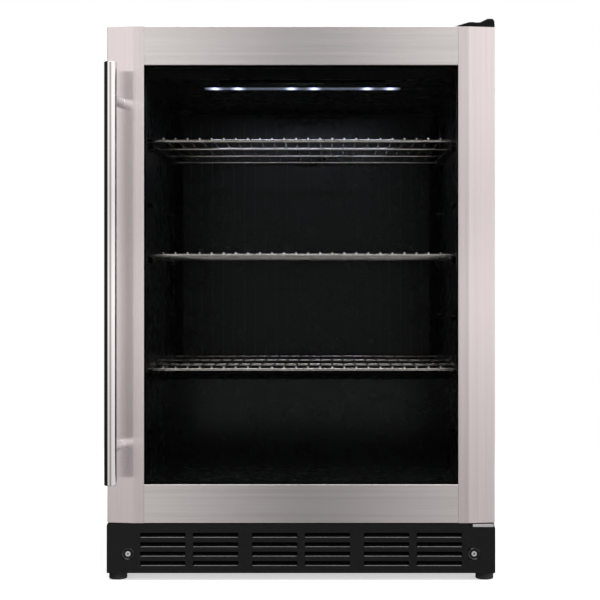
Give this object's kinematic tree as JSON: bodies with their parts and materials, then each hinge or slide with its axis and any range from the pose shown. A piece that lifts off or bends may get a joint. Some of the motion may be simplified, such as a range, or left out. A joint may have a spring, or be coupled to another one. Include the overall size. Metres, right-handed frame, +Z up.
{
  "type": "mini fridge",
  "caption": "Undercounter glass-door beverage cooler with steel door frame, bar handle, wire shelves, louvred toe-kick and machine compartment.",
  "frame": {"origin": "on the floor, under the middle of the object's width and depth", "axes": "+Z up, -Y towards the user (door front), +X to the user's right (hinge side)"},
  "size_m": [0.595, 0.627, 0.8619],
  "materials": {
    "stainless": "brushed",
    "polished_steel": "polished",
    "chromed_wire": "polished",
    "black_steel": "satin",
    "zinc_steel": "satin",
    "black_abs": "satin",
    "gloss_black": "gloss",
    "liner_plastic": "satin",
    "foam": "matte",
    "glass": "gloss",
    "aluminium": "satin",
    "gasket_rubber": "matte",
    "nylon": "satin",
    "lamp_black": "satin",
    "clear_lens": "satin",
    "circuit_board": "satin",
    "compressor_black": "satin",
    "copper": "polished"
  },
  "bodies": {
    "cabinet": {"side_panels": "black_steel", "top_panel": "black_steel", "back_panel": "black_steel", "front_frame": "black_steel", "base_pan": "zinc_steel", "machine_bulkhead": "zinc_steel", "inner_liner": "liner_plastic", "insulation_foam": "foam", "toe_kick": "black_abs", "toe_kick_screws": "zinc_steel", "top_hinge_bracket": "zinc_steel", "bottom_hinge_bracket": "zinc_steel", "hinge_pins": "zinc_steel", "hinge_screws": "zinc_steel", "top_hinge_cover": "gloss_black", "support_pegs": "liner_plastic", "shelf_rails": "liner_plastic", "lamp_housing": "lamp_black", "lamp_board": "circuit_board", "lamp_lens": "clear_lens", "control_housing": "gloss_black", "evaporator_cover": "liner_plastic", "evaporator_plate": "aluminium", "evaporator_fan_frame": "black_abs", "drain_tube": "nylon", "compressor": "compressor_black", "compressor_grommets": "gasket_rubber", "relay_cover": "black_abs", "drain_pan": "nylon", "condenser_coil": "aluminium", "condenser_fan_frame": "black_abs", "filter_drier": "copper", "refrigerant_pipes": "copper", "rear_machine_cover": "black_steel", "cord_gland": "black_abs"},
    "door": {"door_stile_left": "stainless", "door_stile_right": "stainless", "door_rails": "stainless", "door_end_caps": "black_abs", "door_inner_frame": "black_abs", "door_glass": "glass", "glass_spacer": "aluminium", "door_gasket": "gasket_rubber", "door_bushes": "nylon", "handle_bar": "polished_steel", "handle_posts": "polished_steel", "handle_screws": "zinc_steel"},
    "upper_shelf": {"shelf_top": "chromed_wire"},
    "centre_shelf": {"shelf_middle": "chromed_wire"},
    "lower_shelf": {"shelf_bottom": "chromed_wire"},
    "evaporator_rotor": {"evaporator_fan_rotor": "black_abs"},
    "condenser_rotor": {"condenser_fan_rotor": "black_abs"},
    "power_button": {"button_power": "gloss_black"},
    "lamp_button": {"button_lamp": "gloss_black"},
    "warmer_button": {"button_warmer": "gloss_black"},
    "cooler_button": {"button_cooler": "gloss_black"},
    "foot_front_left": {"levelling_foot_front_left": "black_abs"},
    "foot_front_right": {"levelling_foot_front_right": "black_abs"},
    "foot_rear_left": {"levelling_foot_rear_left": "black_abs"},
    "foot_rear_right": {"levelling_foot_rear_right": "black_abs"}
  },
  "joints": [
    {"name": "door_hinge", "type": "hinge", "parent": "cabinet", "child": "door", "pos_m": [0.2845, -0.2355, 0.4686], "axis": [0, 0, 1], "range_deg": [0, 110]},
    {"name": "upper_shelf_slide", "type": "slide", "parent": "cabinet", "child": "upper_shelf", "axis": [0, -1, 0], "range_m": [0, 0.03]},
    {"name": "centre_shelf_slide", "type": "slide", "parent": "cabinet", "child": "centre_shelf", "axis": [0, -1, 0], "range_m": [0, 0.03]},
    {"name": "lower_shelf_slide", "type": "slide", "parent": "cabinet", "child": "lower_shelf", "axis": [0, -1, 0], "range_m": [0, 0.03]},
    {"name": "power_press", "type": "slide", "parent": "cabinet", "child": "power_button", "axis": [0, 0, 1], "range_m": [0, 0.001], "stiffness_N_per_m": 600},
    {"name": "lamp_press", "type": "slide", "parent": "cabinet", "child": "lamp_button", "axis": [0, 0, 1], "range_m": [0, 0.001], "stiffness_N_per_m": 600},
    {"name": "warmer_press", "type": "slide", "parent": "cabinet", "child": "warmer_button", "axis": [0, 0, 1], "range_m": [0, 0.001], "stiffness_N_per_m": 600},
    {"name": "cooler_press", "type": "slide", "parent": "cabinet", "child": "cooler_button", "axis": [0, 0, 1], "range_m": [0, 0.001], "stiffness_N_per_m": 600},
    {"name": "evaporator_fan_spin", "type": "hinge", "parent": "cabinet", "child": "evaporator_rotor", "pos_m": [0, 0.2385, 0.693], "axis": [0, 1, 0], "continuous": true},
    {"name": "condenser_fan_spin", "type": "hinge", "parent": "cabinet", "child": "condenser_rotor", "pos_m": [-0.152, 0.2195, 0.0835], "axis": [1, 0, 0], "continuous": true},
    {"name": "foot_front_left_screw", "type": "slide", "parent": "cabinet", "child": "foot_front_left", "axis": [0, 0, -1], "range_m": [0, 0.012]},
    {"name": "foot_front_right_screw", "type": "slide", "parent": "cabinet", "child": "foot_front_right", "axis": [0, 0, -1], "range_m": [0, 0.012]},
    {"name": "foot_rear_left_screw", "type": "slide", "parent": "cabinet", "child": "foot_rear_left", "axis": [0, 0, -1], "range_m": [0, 0.012]},
    {"name": "foot_rear_right_screw", "type": "slide", "parent": "cabinet", "child": "foot_rear_right", "axis": [0, 0, -1], "range_m": [0, 0.012]}
  ]
}
